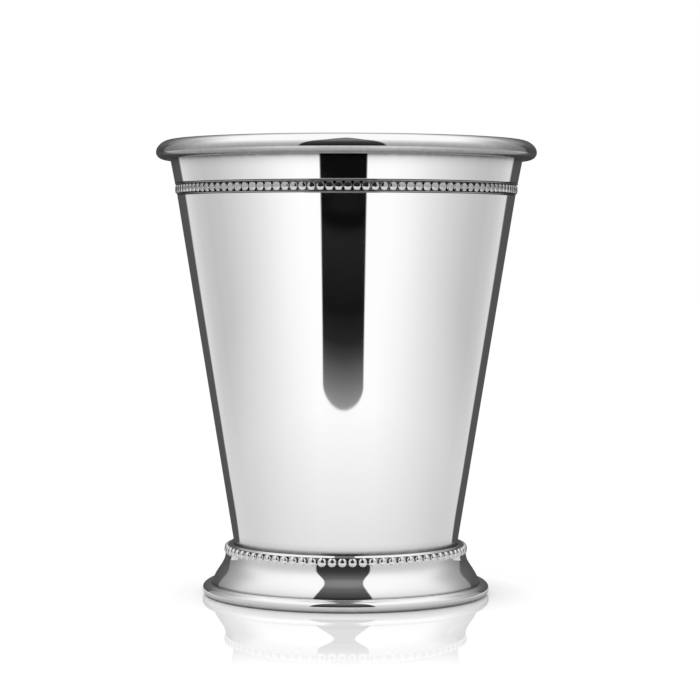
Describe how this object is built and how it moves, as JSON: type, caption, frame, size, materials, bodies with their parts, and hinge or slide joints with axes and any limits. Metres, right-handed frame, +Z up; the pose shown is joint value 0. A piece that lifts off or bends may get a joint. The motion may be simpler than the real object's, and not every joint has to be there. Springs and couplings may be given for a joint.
{
  "type": "julep cup",
  "caption": "Tapered drinking cup in mirror-polished steel, with a rolled rim, an inlaid beaded band and a flared hollow foot edged with beads.",
  "frame": {"origin": "centre of the flat ring that the cup stands on", "axes": "+Z up along the cup's axis, from the foot to the mouth"},
  "size_m": [0.0921, 0.092, 0.11],
  "materials": {
    "polished_steel": "mirror-polished stainless steel",
    "beaded_steel": "polished beaded strip and wire",
    "braze_filler": "cleaned silver braze"
  },
  "bodies": {
    "root": {"bowl": "polished_steel", "upper_bead_band": "beaded_steel", "foot": "polished_steel", "foot_bead_ring": "beaded_steel", "foot_braze_ring": "braze_filler"}
  },
  "joints": []
}
